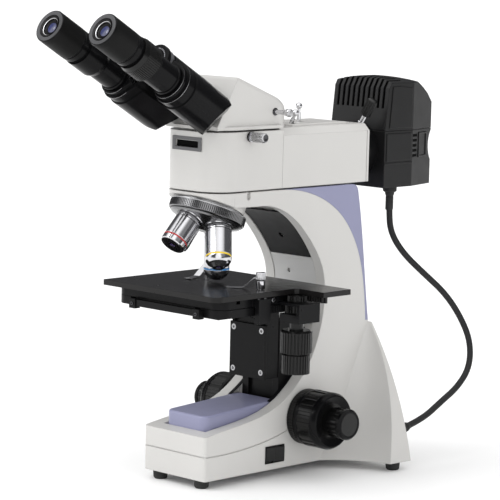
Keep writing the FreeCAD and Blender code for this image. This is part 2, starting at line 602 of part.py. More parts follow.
def illuminator_housing():
    low, top, chamfer = HALF_WIDTH_TOP, ILLUMINATOR_TOP, 6.5
    section = [(-low, ILLUMINATOR_BOTTOM), (low, ILLUMINATOR_BOTTOM), (low, top - chamfer),
               (low - chamfer, top), (chamfer - low, top), (-low, top - chamfer)]
    body = prism_y(section, BLOCK_REAR + 0.2, BOX_REAR)
    pad = rounded(box(-24, 24, 74, 150, top - 1, top + 2), 1.5, lambda p: p.z > top + 1.5)
    body = fuse([body, pad])
    cavities = [box(-33, 33, 40, 162, 282, 328), rod(V(0, 160, LIGHT_Z), Y_AXIS, 20, 20),
                box(-20, 20, FIELD_LEVER_Y - 2.2, FIELD_LEVER_Y + 2.2, 320, 340),
                box(-20, 20, APERTURE_LEVER_Y - 2.2, APERTURE_LEVER_Y + 2.2, 320, 340)]
    groove = box(-50, 50, 164.6, 165.4, 270, 340).cut(box(0.7 - low, low - 0.7, 160, 170, 270, top - 0.7))
    foot = box(-30, 30, 60, 130, ARM_TOP, ILLUMINATOR_BOTTOM + 1)
    save("illuminator_housing", fuse([cut_all(body, cavities + [groove]), foot]))
    lens = Part.makeSphere(26, V(0, 144 - 18, LIGHT_Z)).common(box(-40, 40, 140, 160, 250, 350))
    cell = rod(V(0, 138, LIGHT_Z), Y_AXIS, 22, 4, 15)
    stand = box(-6, 6, 138, 142, 282, LIGHT_Z - 20)
    save("collector_lens", fuse([lens, cell, stand, rod(V(0, 137.9, LIGHT_Z), Y_AXIS, 15.5, 3)]))


def diaphragm_lever(name, y, tilt):
    """Iris ring round the illumination axis, with a radial stem and ball that come out of the top."""
    ring = rod(V(0, y - 1.8, LIGHT_Z), Y_AXIS, 20.5, 3.6, 15)
    stem = rod(V(0, y, LIGHT_Z + 18), Z_AXIS, 1.5, 25)
    collar = rod(V(0, y, LIGHT_Z + 31.5), Z_AXIS, 2.1, 7)
    ball = Part.makeSphere(3.2, V(0, y, LIGHT_Z + 45))
    lever = fuse([ring, stem, collar, ball])
    lever.rotate(V(0, y, LIGHT_Z), Y_AXIS, tilt)
    save(name, lever)


def lamp_adapter():
    tube = rod(V(0, BOX_REAR, LIGHT_Z), Y_AXIS, 27, LAMP_FRONT - BOX_REAR, 19)
    hole = rod(V(0, LAMP_CLAMP_Y, LIGHT_Z), clamp_direction(), 2.6 + FIT, 40)
    save("lamp_adapter", tube.cut(hole))


LAMP_CLAMP_Y, LAMP_CLAMP_TILT = 178.0, 33.0


def clamp_direction():
    tilt = math.radians(LAMP_CLAMP_TILT)
    return V(math.sin(tilt), 0, math.cos(tilt))


def lamp_clamp_knob():
    start, out = V(0, LAMP_CLAMP_Y, LIGHT_Z), clamp_direction()
    knob = fuse([rod(start + out * 20, out, 2.6, 23), fluted(start + out * 42, out, 5.4, 17, 16, 0.5),
                 cone(start + out * 59, out, 5.0, 4.0, 1.4)])
    save("lamp_clamp_knob", knob)


def lamp_plan(inset):
    """Half-octagonal plan of the lamp house: parallel sides, then facets that close in at the rear."""
    half, back_half = LAMP_HALF - inset, 25.4 - inset
    front, bend, rear = LAMP_FRONT + inset, 235.0, LAMP_REAR - inset
    return [(-half, front), (half, front), (half, bend), (back_half, rear), (-back_half, rear), (-half, bend)]


def lamp_house():
    outer = prism_z(lamp_plan(0), LAMP_BOTTOM, LAMP_SPLIT)
    notch_depth, notch_half = 5.5, 15.0
    notch_radius = (notch_half ** 2 + notch_depth ** 2) / (2 * notch_depth)
    notch = rod(V(-60, LAMP_REAR - notch_depth + notch_radius, 307), X_AXIS, notch_radius, 120)
    inner = prism_z(lamp_plan(WALL), LAMP_BOTTOM + WALL, LAMP_SPLIT + 1)
    inner = inner.common(box(-50, 50, 150, 266, 200, 400))
    vents = [box(20, 40, 236 + 1.4 * i, 239 + 1.4 * i, 297 + 5 * i, 299.6 + 5 * i) for i in range(5)]
    mouth = rod(V(0, 180, LIGHT_Z), Y_AXIS, 19, 30)
    gland_hole = rod(V(CORD_ROUTE[0][0], CORD_ROUTE[0][1], 260), Z_AXIS, 4.2, 20)
    body = cut_all(outer.cut(notch), [inner, mouth, gland_hole] + vents)
    save("lamp_house", body)
    gland = turned([(0, 0), (5.6, 0), (6.9, 1.2), (6.9, 5.8), (4.2, 5.8), (4.2, 10), (0, 10)],
                   V(CORD_ROUTE[0][0], CORD_ROUTE[0][1], CORD_ROUTE[0][2]), Z_AXIS)
    save("lead_gland", gland)
    base = box(-14, 14, 216, 242, LAMP_BOTTOM + WALL, 288)
    save("lamp_bulb", fuse([base, rod(V(0, 229, 288), Z_AXIS, 6, 8), rod(V(0, 229, 296), Z_AXIS, 5, 12),
                            Part.makeSphere(5, V(0, 229, 308))]))


def lamp_house_cover():
    """Arched lid with cooling louvres cut through its front edge."""
    z0 = LAMP_SPLIT + 0.3
    crown_drop = 5.4
    crown_radius = (LAMP_HALF ** 2 + crown_drop ** 2) / (2 * crown_drop)

    def shell(inset):
        top = [(203.0, 374.5 - inset), (222.0, LAMP_CREST_Z - inset), (245.0, 370.5 - inset),
               (266.0, 358.5 - inset)]
        rear = [top[-1], (LAMP_REAR - inset, 350.0), (LAMP_REAR - inset, z0), (LAMP_FRONT + inset, z0)]
        front = [rear[-1], (198.0 + inset, 366.0 - inset), top[0]]
        runs = [[front[0], front[1]], [front[1], front[2]], top, [rear[0], rear[1]], [rear[1], rear[2]],
                [rear[2], rear[3]]]
        crown = rod(V(0, 180, LAMP_CREST_Z - inset - crown_radius), Y_AXIS, crown_radius, 100)
        side_view = outline_solid(runs, -60, 60)
        return side_view.common(prism_z(lamp_plan(inset), z0, 380)).common(crown)

    body = shell(0).cut(shell(WALL))
    pitch, width, count = 6.6, 3.0, 10
    first = -pitch * (count - 1) / 2
    centres = [first + pitch * i for i in range(count)]
    slots = [box(x - width / 2, x + width / 2, 190, 222, 346, 380) for x in centres]
    save("lamp_house_cover", cut_all(body, slots))


# --- lamp lead ------------------------------------------------------------------------------------
def lamp_lead():
    """Round cable: straight runs joined by tangent arcs as large as the runs allow."""
    points = [V(*p) for p in CORD_ROUTE]
    edges, here = [], points[0]
    for before, at, after in zip(points, points[1:], points[2:]):
        back, ahead = (before - at).normalize(), (after - at).normalize()
        half_turn = (math.pi - back.getAngle(ahead)) / 2
        reach = CORD_BEND * min(before.distanceToPoint(at), at.distanceToPoint(after))
        radius = reach / math.tan(half_turn)
        start, end = at + back * reach, at + ahead * reach
        middle = at + (back + ahead).normalize() * (radius / math.cos(half_turn) - radius)
        edges += [Part.LineSegment(here, start).toShape(), Part.Arc(start, middle, end).toShape()]
        here = end
        print("lead bend radius %.0f mm" % radius)
    edges.append(Part.LineSegment(here, points[-1]).toShape())
    path = Part.Wire(edges)
    section = Part.Wire(Part.Circle(points[0], points[1] - points[0], CORD_RADIUS).toShape())
    tube = path.makePipeShell([section], True, True)
    share = tube.Volume / (math.pi * CORD_RADIUS ** 2 * path.Length)
    print("lead length %.0f mm, volume / (section x length) %.4f" % (path.Length, share))
    save("lamp_lead", tube)


# --- binocular head -------------------------------------------------------------------------------
def head_casting():
    profile = [(-36.6, HEAD_BOTTOM), (-36.6, 337.0), (-10.3, 382.7), (45.0, 361.5), (64.0, 352.0),
               (72.0, 340.0), (72.0, HEAD_BOTTOM)]
    body = prism_x(profile, -34, 34)
    plan = fuse([box(-34, 34, -60, 38, 330, 390), rod(V(0, 38, 330), Z_AXIS, 34, 60)])
    body = body.common(plan)
    body = rounded(body, 5, lambda p: p.z > 360 and (abs(p.x) > 32 or p.y < -5))
    skirt = box(-38, 38, -39.8, 46.6, HEAD_BOTTOM, 336.5)
    for side in (-1, 1):
        skirt = skirt.cut(corner_cutter(38, -39.8, NOSE_RADIUS, 330, 340, side))
    ring = rod(V(0, 0, 322), Z_AXIS, 22.45, 15)
    body = fuse([body, skirt, ring])
    cavity = fuse([rod(V(0, 0, 310), Z_AXIS, 15, 40), box(-24, 24, -14, 44, 338, 356)])
    pivot_hole = in_head(rod(V(0, 0, -14), Z_AXIS, 7, 20))
    rod_hole = rod(V(20, PULL_ROD.y, PULL_ROD.z), X_AXIS, 2.1 + FIT, 20)
    save("head_casting", cut_all(body, [cavity, pivot_hole, rod_hole]))


def head_pull_rod():
    pull = fuse([rod(V(10, PULL_ROD.y, PULL_ROD.z), X_AXIS, 2.1, 36),
                 cone(V(46, PULL_ROD.y, PULL_ROD.z), X_AXIS, 2.1, 4.2, 6),
                 cone(V(52, PULL_ROD.y, PULL_ROD.z), X_AXIS, 4.2, 2.6, 3)])
    save("head_pull_rod", pull)


def hinge_pivot():
    pivot = fuse([rod(V(0, 0, -12), Z_AXIS, 7, 75), rod(V(0, 0, 0.7), Z_AXIS, 13, 2.2),
                  rod(V(0, 0, 62.4), Z_AXIS, 15.2, 6), rod(V(0, 0, 68.4), Z_AXIS, 16.2, 5)])
    save("hinge_pivot", in_head(pivot))


def link_shape(tube_radius, hub_radius, z0, z1):
    """Hull of a circle round the eyetube and one round the hinge, along +X."""
    if abs(tube_radius - hub_radius) < 1e-6:
        lean = 0.0
    else:
        lean = math.asin((tube_radius - hub_radius) / SWING)
    sin, cos = math.sin(lean), math.cos(lean)
    hub = (-hub_radius * sin, hub_radius * cos)
    tube = (SWING - tube_radius * sin, tube_radius * cos)
    tangent = prism_z([hub, tube, (tube[0], -tube[1]), (hub[0], -hub[1])], z0, z1)
    ends = [rod(V(0, 0, z0), Z_AXIS, hub_radius, z1 - z0),
            rod(V(SWING, 0, z0), Z_AXIS, tube_radius, z1 - z0)]
    return fuse(ends + [tangent])


def prism_housing(name, side, hub_low, hub_high):
    """One eye half: the box round its prism, joined to the hinge by a hub over part of its depth."""
    full = fuse([link_shape(20.5, 14.5, 3.5, 62.0), link_shape(19.3, 13.3, 61.0, 72.0),
                 link_shape(17.2, 11.2, 71.0, 77.5)])
    outer = full.cut(rod(V(0, 0, 0), Z_AXIS, HUB_CLEARANCE, 90))
    hub = link_shape(20.5, 14.5, hub_low, hub_high)
    body = fuse([outer, hub])
    x0, z0 = SWING, 3.5
    bevel = prism_y([(x0, z0 - 0.01), (x0 + 30, z0 - 0.01), (x0 + 30, z0 + 30)], -40, 40)
    width, chamfer = 20.5, 9.0
    corner = [(width - chamfer, z0 - 0.01), (width + 2, z0 - 0.01), (width + 2, z0 + chamfer + 2)]
    flank = prism_x(corner, -40, x0 + 30)
    edges = [flank, flank.mirror(V(0, 0, 0), Y_AXIS)]
    seat = [(x0 - 12, 12), (x0 - 12, 35), (x0 + 11, 35)]
    tools = [bevel, prism_y(seat, -11.5, 11.5), rod(V(SWING, 0, 34), Z_AXIS, TUBE_BORE, 50),
             rod(V(SWING, 0, 63), Z_AXIS, TUBE_RADIUS, 20), rod(V(0, 0, 0), Z_AXIS, 7 + FIT, 90)]
    body = cut_all(body, tools + edges)
    glass = prism_y([(x0 - 11.8, 12.6), (x0 - 11.8, 34.4), (x0 + 10, 34.4)], -11.3, 11.3)
    for part, shape in (("prism_housing_", body), ("prism_", glass)):
        save(part + name, in_head(swung(shape, side)))


def swung(shape, side):
    """Turns a piece modelled along +X to its rest place on the right (side 1) or the left (side -1)."""
    placed = shape.copy()
    placed.rotate(V(0, 0, 0), Z_AXIS, -SWING_ANGLE if side > 0 else SWING_ANGLE + 180)
    return placed


def on_tube_axis(z):
    return V(SWING, 0, z)


def eyetube(name, side):
    end = 133.0
    tube = rod(on_tube_axis(63.0), Z_AXIS, TUBE_RADIUS, end - 63.0, TUBE_BORE)
    if name == "left":
        collar = fuse([rod(on_tube_axis(109), Z_AXIS, 16.2, 21),
                       cone(on_tube_axis(104), Z_AXIS, TUBE_RADIUS + 0.2, 16.2, 5)])
        tube = fuse([tube, collar.cut(rod(on_tube_axis(103), Z_AXIS, TUBE_RADIUS - 1, 28))])
    else:
        tube = fuse([tube, rod(on_tube_axis(105.5), Z_AXIS, TUBE_RADIUS + 1, 3, TUBE_RADIUS - 1)])
        ring = fuse([fluted(on_tube_axis(109), Z_AXIS, 17.4, 16, 56, 0.6),
                     cone(on_tube_axis(125), Z_AXIS, 17.2, 16.2, 5)])
        ring = ring.cut(rod(on_tube_axis(100), Z_AXIS, TUBE_RADIUS + FIT, 40))
        save("diopter_ring", in_head(swung(ring, side)))
    save("eyetube_" + name, in_head(swung(tube, side)))


def eyepiece(name, side):
    barrel = 16.0
    profile = [(0, 112), (9.6, 112), (11.55, 114), (11.55, 133.2), (barrel - 1, 133.2), (barrel, 134.2),
               (barrel, EYE_TOP - 1), (barrel - 1, EYE_TOP), (9.4, EYE_TOP), (7.2, EYE_TOP - 3.0),
               (6.0, EYE_TOP - 5.0), (0, EYE_TOP - 4.2)]
    save("eyepiece_" + name, in_head(swung(turned(profile, V(SWING, 0, 0), Z_AXIS), side)))


# --- the whole object -----------------------------------------------------------------------------
def main():
    os.makedirs("parts", exist_ok=True)
    stand_casting()
    rear_cover()
    base_cover()
    throat_panels()
    base_bottom()
    rocker_switch()
    focus_guide()
    coarse_drive()
    fine_drive()
    coarse_slide()
    stage_bracket()
    stage_base()
    front_bar()
    stage_middle()
    stage_top()
    stage_clip("clip_right", CLIP_RIGHT, 32.0, -59.0)
    stage_clip("clip_left", CLIP_LEFT, 46.0, 19.0)
    stage_knobs()
    nosepiece_mount()
    nosepiece()
    objectives()
    illuminator_block()
    head_clamp_screw()
    illuminator_housing()
    diaphragm_lever("field_lever", FIELD_LEVER_Y, 0)
    diaphragm_lever("aperture_lever", APERTURE_LEVER_Y, APERTURE_REST)
    lamp_adapter()
    lamp_clamp_knob()
    lamp_house()
    lamp_house_cover()
    lamp_lead()
    head_casting()
    head_pull_rod()
    hinge_pivot()
    prism_housing("right", 1, 33.0, 62.0)
    prism_housing("left", -1, 3.5, 32.0)
    for name, side in (("right", 1), ("left", -1)):
        eyetube(name, side)
        eyepiece(name, side)


main()
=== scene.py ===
"""Looks of the reflected-light microscope: materials, fine details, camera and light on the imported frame.

Lengths in this file are millimetres seen from the objective's optical axis, as in the design of the parts:
the observer is on the -Y side and z = 0 is the table. at() turns them into the frame's metres.
"""
import math

import bmesh
import bpy
from mathutils import Matrix, Vector


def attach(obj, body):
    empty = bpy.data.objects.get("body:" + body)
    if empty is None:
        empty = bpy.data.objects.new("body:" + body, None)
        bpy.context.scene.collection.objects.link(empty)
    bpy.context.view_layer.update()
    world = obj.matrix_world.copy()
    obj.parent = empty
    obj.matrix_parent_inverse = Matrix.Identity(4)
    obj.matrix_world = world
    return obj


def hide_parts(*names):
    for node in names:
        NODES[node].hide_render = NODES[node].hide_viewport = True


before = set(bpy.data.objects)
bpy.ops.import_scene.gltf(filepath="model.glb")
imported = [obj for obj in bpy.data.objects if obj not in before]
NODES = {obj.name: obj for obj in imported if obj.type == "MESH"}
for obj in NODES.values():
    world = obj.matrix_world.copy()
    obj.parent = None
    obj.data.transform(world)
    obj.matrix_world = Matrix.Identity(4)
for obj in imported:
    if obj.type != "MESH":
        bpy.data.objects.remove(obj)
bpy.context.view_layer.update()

ORIGIN = Vector((6.5, 42.7, 0.0))     # the frame's origin, seen from the optical axis
MM = 0.001

# Places shared with the design of the parts
LIGHT_Z = 304.6
TURRET_APEX = Vector((0.0, 0.0, 287.4))
TURRET_TILT = math.radians(22.0)
SHOULDER = 53.8
HINGE = Vector((0.0, -22.1, 361.3))
VIEW_TILT = math.radians(30.0)
EYE_HALF, EYE_DROP = 34.75, -22.0
EYE_TOP = 171.5
CLAMP_TILT = math.radians(33.0)
CLAMP_PLACE = (38.0, 2.0, 327.0)
PULL_ROD_PLACE = (34.0, 39.0, 348.6)
ILLUMINATOR_FRONT = -42.2
BASE_SIDE = 41.0
FOCUS_AXIS = (0.0, 84.3, 54.6)
LAMP_FACET = ((36.0, 235.0), (25.4, 275.0))      # its ends in plan, on the right
STAGE_TOP = 187.6
CLIP_POSTS = {"right": (62.0, -4.0), "left": (-40.0, 30.0)}
CORD_RADIUS = 3.1
CORD_ROUTE = [(24.0, 216.7, 262.2), (24.0, 216.7, 243.0), (26.0, 217.5, 222.0), (31.0, 231.0, 201.0),
              (37.5, 255.0, 180.0), (45.0, 283.0, 157.0), (53.0, 300.0, 131.0), (61.5, 305.5, 107.0),
              (69.5, 295.5, 83.0), (76.0, 270.0, 67.0), (80.5, 239.0, 56.0), (83.5, 208.0, 43.0),
              (84.0, 181.0, 38.0)]

CAMERA_PLACE = Vector((1649.5, -1649.3, 514.9))
CAMERA_TURN, CAMERA_PITCH, CAMERA_ROLL = (math.radians(a) for a in (44.24, 7.25, 1.365))
CAMERA_LENS = 180.0

X, Y, Z = Vector((1, 0, 0)), Vector((0, 1, 0)), Vector((0, 0, 1))


# --- places ---------------------------------------------------------------------------------------
def at(x, y, z):
    """Millimetres from the optical axis to the frame's metres."""
    return (Vector((x, y, z)) - ORIGIN) * MM


def head_point(x, up, out):
    """Point in the eye halves' own directions: right, up and out along the eyepieces."""
    sin, cos = math.sin(VIEW_TILT), math.cos(VIEW_TILT)
    return Vector((x, HINGE.y - out * cos + up * sin, HINGE.z + out * sin + up * cos))


def eyepiece_direction():
    return Vector((0, -math.cos(VIEW_TILT), math.sin(VIEW_TILT)))


def turret_axis():
    return Vector((0, -math.sin(TURRET_TILT), -math.cos(TURRET_TILT)))


def objective_axis(turn):
    return Matrix.Rotation(math.radians(turn), 3, turret_axis()) @ Vector((0, 0, -1))


def clamp_direction():
    return Vector((math.sin(CLAMP_TILT), 0, math.cos(CLAMP_TILT)))


# --- materials ------------------------------------------------------------------------------------
def nodes_of(name):
    material = bpy.data.materials.new(name)
    material.use_nodes = True
    tree = material.node_tree
    return material, tree, tree.nodes["Principled BSDF"]


def noise(tree, scale, detail=3.0, stretch=(1, 1, 1)):
    """Noise in the piece's own space, finer for a larger scale."""
    place = tree.nodes.new("ShaderNodeTexCoord")
    mapping = tree.nodes.new("ShaderNodeMapping")
    mapping.inputs["Scale"].default_value = stretch
    texture = tree.nodes.new("ShaderNodeTexNoise")
    texture.inputs["Scale"].default_value = scale
    texture.inputs["Detail"].default_value = detail
    tree.links.new(place.outputs["Object"], mapping.inputs["Vector"])
    tree.links.new(mapping.outputs["Vector"], texture.inputs["Vector"])
    return texture.outputs["Fac"]


def ramp(tree, factor, stops):
    node = tree.nodes.new("ShaderNodeValToRGB")
    for element, (position, colour) in zip(node.color_ramp.elements, (stops[0], stops[-1])):
        element.position = position
        element.color = (*colour, 1)
    for position, colour in stops[1:-1]:
        node.color_ramp.elements.new(position).color = (*colour, 1)
    tree.links.new(factor, node.inputs["Fac"])
    return node.outputs["Color"]


def spread(tree, factor, low, high):
    node = tree.nodes.new("ShaderNodeMapRange")
    node.inputs["To Min"].default_value, node.inputs["To Max"].default_value = low, high
    tree.links.new(factor, node.inputs["Value"])
    return node.outputs["Result"]


def shade(colour, factor):
    return tuple(min(1.0, c * factor) for c in colour)


def finish_surface(tree, shader, height, depth, edge):
    """Bump from a height, over edges that are rounded by a small radius."""
    bevel = tree.nodes.new("ShaderNodeBevel")
    bevel.samples = 4
    bevel.inputs["Radius"].default_value = edge
    bump = tree.nodes.new("ShaderNodeBump")
    bump.inputs["Strength"].default_value = 1.0
    bump.inputs["Distance"].default_value = depth
    tree.links.new(height, bump.inputs["Height"])
    tree.links.new(bevel.outputs["Normal"], bump.inputs["Normal"])
    tree.links.new(bump.outputs["Normal"], shader.inputs["Normal"])


def painted(name, colour, rough=(0.30, 0.42), grain=900, depth=0.00004, mottle=0.05, coat=0.0, edge=0.0006,
            shine=0.5):
    """Enamel or plastic: faint mottling, a fine grain and slightly rounded edges.

    Here depth is the height of the grain and edge the radius of the edges, both in metres.
    """
    material, tree, shader = nodes_of(name)
    broad = noise(tree, 14, 4)
    tint = ramp(tree, broad, [(0.25, shade(colour, 1 - mottle)), (0.75, shade(colour, 1 + mottle))])
    tree.links.new(tint, shader.inputs["Base Color"])
    tree.links.new(spread(tree, noise(tree, 90, 2), *rough), shader.inputs["Roughness"])
    shader.inputs["Specular IOR Level"].default_value = shine
    shader.inputs["Coat Weight"].default_value = coat
    shader.inputs["Coat Roughness"].default_value = 0.12
    finish_surface(tree, shader, noise(tree, grain, 2), depth, edge)
    return material


def metal(name, colour, rough=(0.07, 0.13), stretch=(1, 1, 1), grain=700, depth=0.0000008, edge=0.0003):
    material, tree, shader = nodes_of(name)
    shader.inputs["Metallic"].default_value = 1.0
    streaks = noise(tree, grain, 3, stretch)
    tint = ramp(tree, noise(tree, 60, 3), [(0.3, shade(colour, 0.97)), (0.7, shade(colour, 1.02))])
    tree.links.new(tint, shader.inputs["Base Color"])
    tree.links.new(spread(tree, streaks, *rough), shader.inputs["Roughness"])
    finish_surface(tree, shader, streaks, depth, edge)
    return material


def rubber(name, colour, grain=1400, depth=0.00008):
    material = painted(name, colour, (0.55, 0.75), grain, depth, 0.12)
    material.node_tree.nodes["Principled BSDF"].inputs["Specular IOR Level"].default_value = 0.35
    return material


def coated_lens(name, deep, bloom):
    """Dark glass with an antireflection bloom that changes over the curve."""
    material, tree, shader = nodes_of(name)
    weight = tree.nodes.new("ShaderNodeLayerWeight")
    weight.inputs["Blend"].default_value = 0.35
    tint = ramp(tree, weight.outputs["Facing"], [(0.0, deep), (0.45, bloom), (1.0, shade(bloom, 1.5))])
    tree.links.new(tint, shader.inputs["Base Color"])
    tree.links.new(spread(tree, noise(tree, 200, 2), 0.02, 0.06), shader.inputs["Roughness"])
    shader.inputs["Coat Weight"].default_value = 1.0
    finish_surface(tree, shader, noise(tree, 120, 1), 0.000002, 0.0001)
    return material


def clear_glass(name):
    material, tree, shader = nodes_of(name)
    tint = ramp(tree, noise(tree, 30, 1), [(0.3, (0.86, 0.92, 0.95)), (0.7, (0.93, 0.97, 1.0))])
    tree.links.new(tint, shader.inputs["Base Color"])
    tree.links.new(spread(tree, noise(tree, 200, 2), 0.01, 0.04), shader.inputs["Roughness"])
    shader.inputs["Transmission Weight"].default_value = 1.0
    shader.inputs["IOR"].default_value = 1.52
    return material


def circuit_board(name):
    """Green lacquer with paler copper tracks."""
    material = painted(name, (0.02, 0.13, 0.05), (0.25, 0.4), 500, 0.00003, 0.1)
    tree = material.node_tree
    brick = tree.nodes.new("ShaderNodeTexBrick")
    place = tree.nodes.new("ShaderNodeTexCoord")
    brick.inputs["Scale"].default_value = 120
    brick.inputs["Color1"].default_value = (0.02, 0.13, 0.05, 1)
    brick.inputs["Color2"].default_value = (0.03, 0.18, 0.07, 1)
    brick.inputs["Mortar"].default_value = (0.10, 0.30, 0.12, 1)
    tree.links.new(place.outputs["Object"], brick.inputs["Vector"])
    tree.links.new(brick.outputs["Color"], tree.nodes["Principled BSDF"].inputs["Base Color"])
    return material


def make_enamels():
    """Light enamels of the stand, the panels in its throat and the bands of the objectives."""
    enamels = {
        "enamel": painted("enamel_white", (0.57, 0.562, 0.545), (0.28, 0.4), 1100, 0.00003, 0.02,
                          coat=0.1, edge=0.0012),
        "lilac": painted("enamel_lilac", (0.25, 0.255, 0.385), (0.3, 0.42), 1100, 0.00003, 0.03,
                         coat=0.1, edge=0.001),
        "frame": painted("slot_frame", (0.10, 0.10, 0.105), (0.3, 0.4), 900, 0.00001),
        "panel_grey": painted("panel_grey", (0.27, 0.27, 0.29), (0.4, 0.55), 900, 0.00004, 0.06),
        "panel_light": painted("panel_light", (0.56, 0.56, 0.555), (0.36, 0.48), 900, 0.00003, 0.03),
    }
    bands = {"red": (0.42, 0.02, 0.02), "yellow": (0.80, 0.55, 0.02),
             "green": (0.02, 0.28, 0.08), "blue": (0.05, 0.28, 0.66)}
    for name, colour in bands.items():
        enamels["band_" + name] = painted("band_" + name, colour, (0.3, 0.4), 900, 0.00001)
    return enamels


def make_blacks():
    """Black enamels, castings, plastics and rubber."""
    dull = {"mottle": 0.2, "shine": 0.12}
    return {
        "black": painted("enamel_black", (0.006, 0.006, 0.0065), (0.24, 0.36), 1300, 0.00001, **dull),
        "gloss": painted("enamel_black_gloss", (0.004, 0.004, 0.0045), (0.18, 0.27), 1300, 0.000004,
                         edge=0.0009, **dull),
        "stage": painted("stage_anodised", (0.007, 0.0065, 0.0065), (0.2, 0.3), 2200, 0.000004, 0.2,
                         edge=0.0005, shine=0.26),
        "cast": painted("lamp_house_cast", (0.007, 0.007, 0.0075), (0.32, 0.45), 1500, 0.00004, 0.2,
                        edge=0.0012, shine=0.28),
        "knob": painted("knob_black", (0.005, 0.005, 0.005), (0.2, 0.3), 1500, 0.000006, 0.2,
                        edge=0.0003, shine=0.3),
        "soft": painted("soft_black", (0.006, 0.006, 0.006), (0.42, 0.55), 1800, 0.00002, **dull),
        "panel_dark": painted("panel_dark", (0.006, 0.006, 0.007), (0.4, 0.52), 900, 0.00001, **dull),
        "speckle": painted("face_ring", (0.075, 0.075, 0.08), (0.4, 0.6), 2600, 0.0005, 0.5),
        # Near-black and dull: painted shade for the vents of the lamp house and inside the filter slot.
        "painted_shade_black": painted("painted_shade_black", (0.001, 0.001, 0.001), (0.8, 0.9), 900, 0.00001, 0.2, shine=0.1),
        "foot": rubber("foot_rubber", (0.02, 0.02, 0.02)),
        "cable": rubber("cable_rubber", (0.015, 0.015, 0.016), 1800, 0.00004),
    }


def make_metals_and_glass():
    return {
        "chrome": metal("chrome", (0.66, 0.66, 0.68)),
        "barrel": metal("barrel_chrome", (0.60, 0.60, 0.62), (0.12, 0.17), depth=0.0000003),
        "satin_chrome": metal("satin_chrome", (0.48, 0.48, 0.49), (0.22, 0.34)),
        "steel": metal("ground_steel", (0.45, 0.45, 0.46), (0.25, 0.4), (1, 1, 14)),
        # Dark steel for dark metal parts, and also painted shade in screw sockets, in each objective's groove
        # and under the objective collars.
        "dark_steel": metal("dark_steel", (0.085, 0.085, 0.09), (0.2, 0.3)),
        "turret": metal("turret_steel", (0.22, 0.22, 0.225), (0.2, 0.3)),
        "alloy": metal("alloy", (0.66, 0.66, 0.68), (0.26, 0.4), (12, 1, 1)),
        "lens_blue": coated_lens("lens_blue", (0.012, 0.014, 0.045), (0.05, 0.06, 0.17)),
        "lens_violet": coated_lens("lens_violet", (0.01, 0.008, 0.03), (0.06, 0.035, 0.14)),
        "glass": clear_glass("clear_glass"),
        "board": circuit_board("circuit_board"),
    }


NODE_LOOKS = {
    "enamel": ["stand_casting", "illuminator_block", "illuminator_housing", "head_casting"],
    "lilac": ["rear_cover", "base_cover"],
    "black": ["stage_bracket", "bracket_cover", "stage_base", "stage_middle", "lamp_adapter", "coarse_slide",
              "focus_guide", "front_bar"],
    "gloss": ["prism_housing_left", "prism_housing_right", "eyetube_left", "eyetube_right",
              "eyepiece_left", "eyepiece_right"],
    "turret": ["nosepiece"],
    "stage": ["stage_top"],
    "cast": ["lamp_house", "lamp_house_cover"],
    "knob": ["coarse_knobs", "fine_knobs", "tension_ring", "stage_x_knob", "stage_y_knob", "lamp_clamp_knob",
             "rocker_switch", "diopter_ring"],
    "panel_dark": ["throat_panel_upper"],
    "panel_light": ["throat_panel_lower"],
    "foot": ["rubber_feet", "lead_gland", "lead_socket"],
    "cable": ["lamp_lead"],
    "chrome": ["objective_low", "objective_medium", "objective_high", "objective_working", "clip_left",
               "clip_right", "field_lever", "aperture_lever", "head_clamp_screw", "head_pull_rod"],
    "steel": ["coarse_shaft", "fine_shaft", "bracket_screws", "bottom_plate", "nosepiece_mount"],
    "alloy": ["hinge_pivot"],
    "glass": ["lamp_bulb", "beam_splitter", "collector_lens", "prism_left", "prism_right"],
    "board": ["power_board"],
}


def dress_nodes(looks):
    for look, names in NODE_LOOKS.items():
        for name in names:
            mesh = NODES[name].data
            mesh.materials.clear()
            mesh.materials.append(looks[look])


# --- mesh helpers ---------------------------------------------------------------------------------
def new_piece(name, mesh, body):
    piece = bpy.data.objects.new(name, mesh)
    bpy.context.scene.collection.objects.link(piece)
    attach(piece, body)
    return piece


def ring_radius(radius, form, step, steps):
    """Radius of one ring's vertex: round, hexagonal, or with grooves cut into it."""
    if form == "hex":
        angle = (2 * math.pi * step / steps) % (math.pi / 3) - math.pi / 6
        return radius * math.cos(math.pi / 6) / math.cos(angle)
    if form:
        count, depth = form
        return radius - depth if (step * count * 4 // steps) % 4 >= 2 else radius
    return radius


def lathe(name, rings, start, direction, looks, body, steps=96):
    """Turned piece. rings are (radius, distance, look, form); a look covers the strip up to the next
    ring, and form is None, "hex" or (number of grooves, depth)."""
    used = sorted({ring[2] for ring in rings})
    mesh = bpy.data.meshes.new(name)
    for look in used:
        mesh.materials.append(looks[look])
    place = Matrix.Translation(at(*start)) @ direction.to_track_quat("Z", "Y").to_matrix().to_4x4()
    bm = bmesh.new()
    loops = []
    for radius, distance, look, form in rings:
        loop = []
        for step in range(steps):
            angle = 2 * math.pi * step / steps
            r = ring_radius(radius, form, step, steps) * MM
            across = Vector((r * math.cos(angle), r * math.sin(angle), distance * MM))
            loop.append(bm.verts.new(place @ across))
        loops.append(loop)
    for ring, low, high in zip(rings, loops, loops[1:]):
        for step in range(steps):
            after = (step + 1) % steps
            face = bm.faces.new((low[step], low[after], high[after], high[step]))
            face.material_index = used.index(ring[2])
            face.smooth = True
    bmesh.ops.remove_doubles(bm, verts=bm.verts, dist=0.0000005)
    bmesh.ops.recalc_face_normals(bm, faces=bm.faces)
    bm.to_mesh(mesh)
    bm.free()
    mesh.set_sharp_from_angle(angle=math.radians(32))
    return new_piece(name, mesh, body)


def strip(look, *points, form=None):
    """Rings of one look for lathe(), from points of (radius, distance)."""
    return [(radius, distance, look, form) for radius, distance in points]


